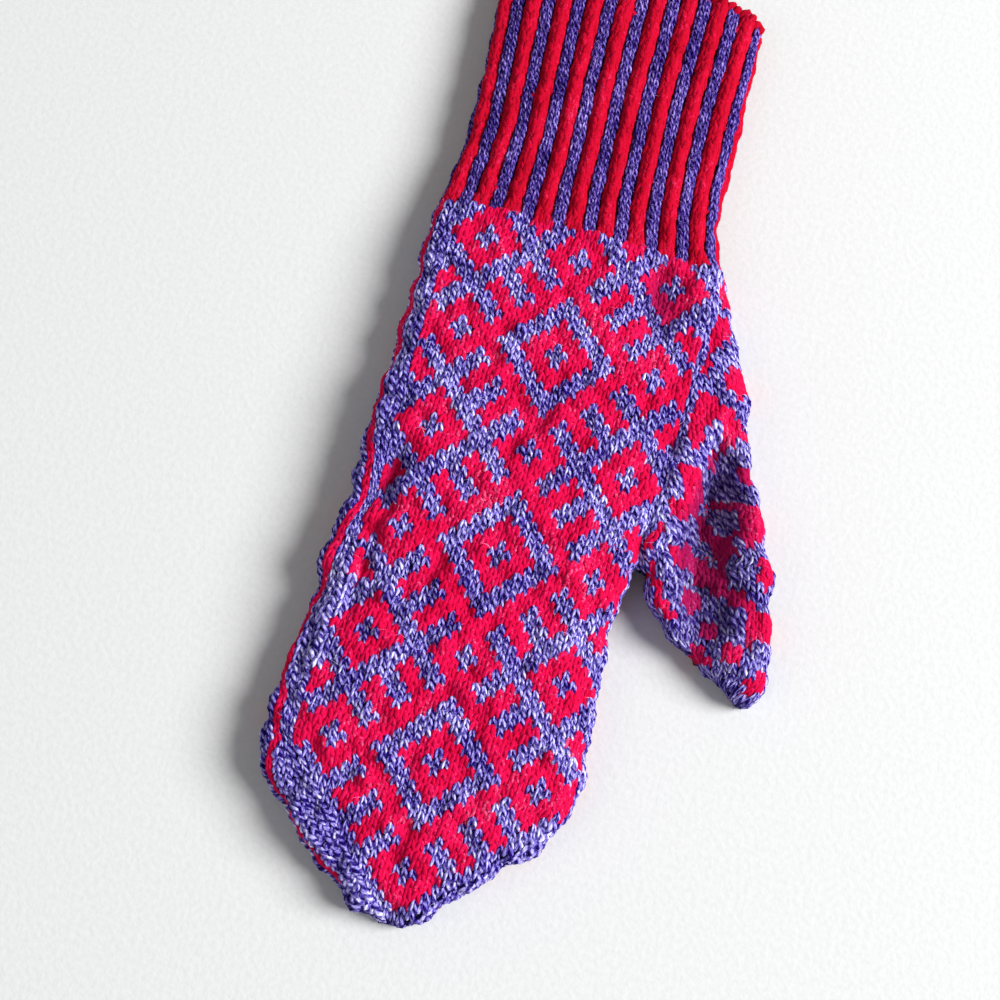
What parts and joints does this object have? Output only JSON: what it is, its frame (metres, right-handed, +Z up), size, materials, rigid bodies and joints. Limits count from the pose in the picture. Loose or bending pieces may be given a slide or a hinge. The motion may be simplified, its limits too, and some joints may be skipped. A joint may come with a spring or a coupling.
{
  "type": "knitted mitten",
  "caption": "Knitted two-colour mitten with a corrugated rib cuff, a diamond-patterned hand, a side thumb gusset and a pointed tip, hollow and lying flat.",
  "frame": {"origin": "centre of the footprint's bounding box, on the surface that the mitten lies on", "axes": "+Y towards the open end of the cuff, +X towards the thumb, +Z up from the surface"},
  "size_m": [0.134, 0.2972, 0.0192],
  "materials": {
    "red_wool": "matt, fuzzy knitted wool",
    "blue_wool": "matt, fuzzy knitted wool, light and dark blue strands"
  },
  "bodies": {
    "root": {"cast_on_edge": "red_wool", "ribbed_cuff": "red_wool", "hand": "blue_wool", "thumb": "blue_wool"}
  },
  "joints": []
}
